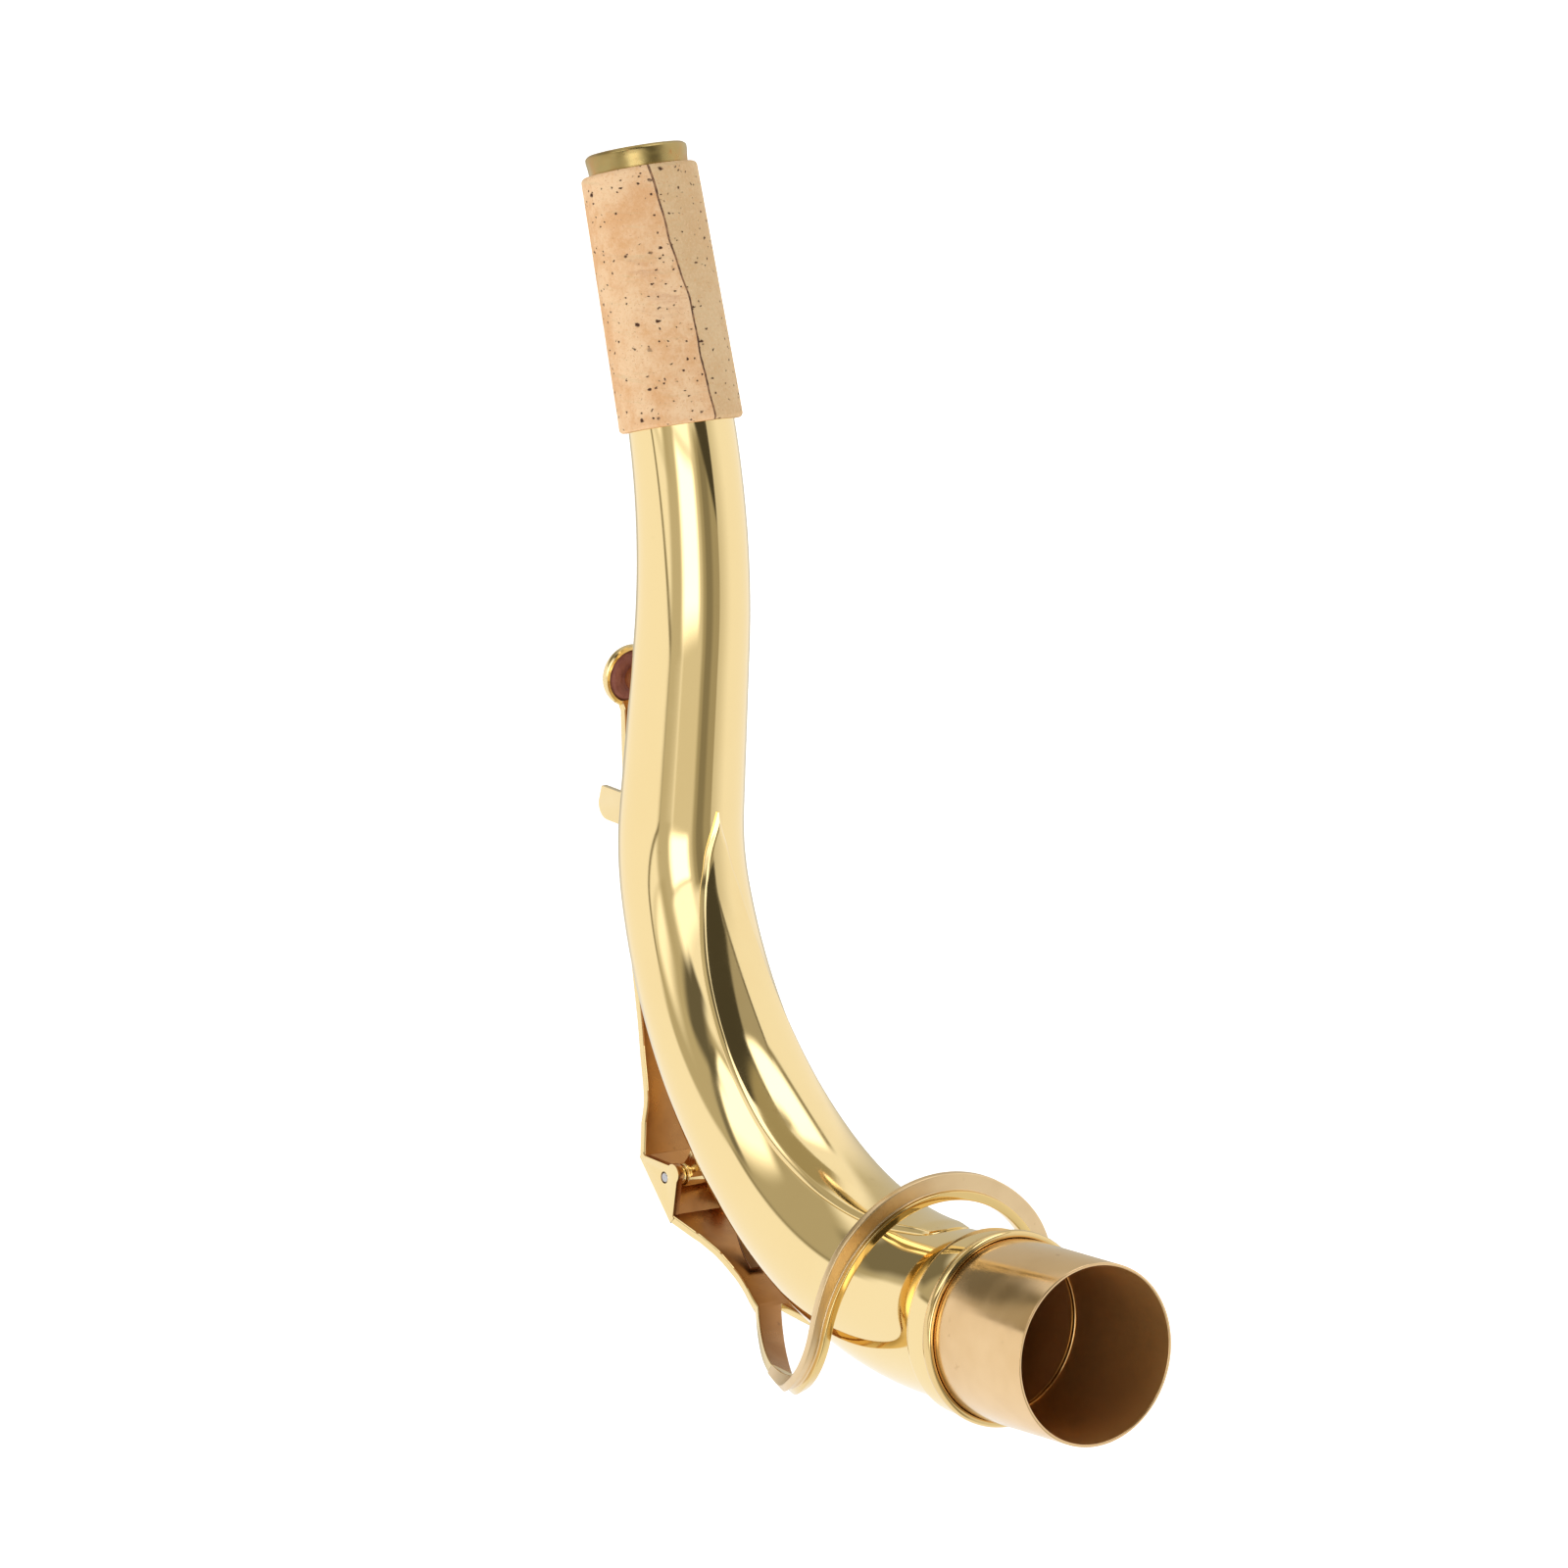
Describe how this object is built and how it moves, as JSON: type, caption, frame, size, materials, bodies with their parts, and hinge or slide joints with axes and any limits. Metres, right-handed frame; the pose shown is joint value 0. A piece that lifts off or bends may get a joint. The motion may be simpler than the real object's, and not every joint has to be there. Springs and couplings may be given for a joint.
{
  "type": "saxophone neck",
  "caption": "Bent, tapered brass saxophone neck with corked mouthpiece end, plug-in tenon, brace plate and a sprung octave key with a ring around the tube.",
  "frame": {"origin": "centre of the tenon's stop shoulder, on the tenon's axis", "axes": "+X out of the tenon along its axis, +Z towards the mouthpiece end, +Y across the neck; the neck's bend lies in the plane y = 0"},
  "size_m": [0.1232, 0.0448, 0.1813],
  "materials": {
    "lacquered_brass": "polished, clear lacquer",
    "satin_brass": "satin",
    "tarnished_brass": "bare, tarnished",
    "cork": "fine sanded cork",
    "pad_leather": "smooth reddish brown",
    "spring_steel": "blued",
    "rod_steel": "polished"
  },
  "bodies": {
    "neck": {"neck_tube": "lacquered_brass", "mouthpiece_end_ring": "tarnished_brass", "neck_cork": "cork", "brace_plate": "lacquered_brass", "tenon_ferrule": "lacquered_brass", "tenon_stop_bead": "lacquered_brass", "tenon_sleeve": "satin_brass", "octave_pip": "lacquered_brass", "key_guide": "lacquered_brass", "hinge_saddle": "lacquered_brass", "flat_spring": "spring_steel", "spring_screw": "rod_steel"},
    "octave_key": {"pad_cup": "lacquered_brass", "octave_pad": "pad_leather", "key_upper_arm": "lacquered_brass", "hinge_yoke": "lacquered_brass", "hinge_collar_near": "lacquered_brass", "hinge_collar_far": "lacquered_brass", "hinge_rod": "rod_steel", "key_lower_arm": "lacquered_brass", "octave_ring": "satin_brass"}
  },
  "joints": [
    {"name": "octave_key_pivot", "type": "hinge", "parent": "neck", "child": "octave_key", "pos_m": [-0.08187, 0, 0.00976], "axis": [0, -1, 0], "range_deg": [0, 5], "stiffness_Nm_per_rad": 0.25, "springref_deg": -9.17, "deforming": ["flat_spring"]}
  ]
}
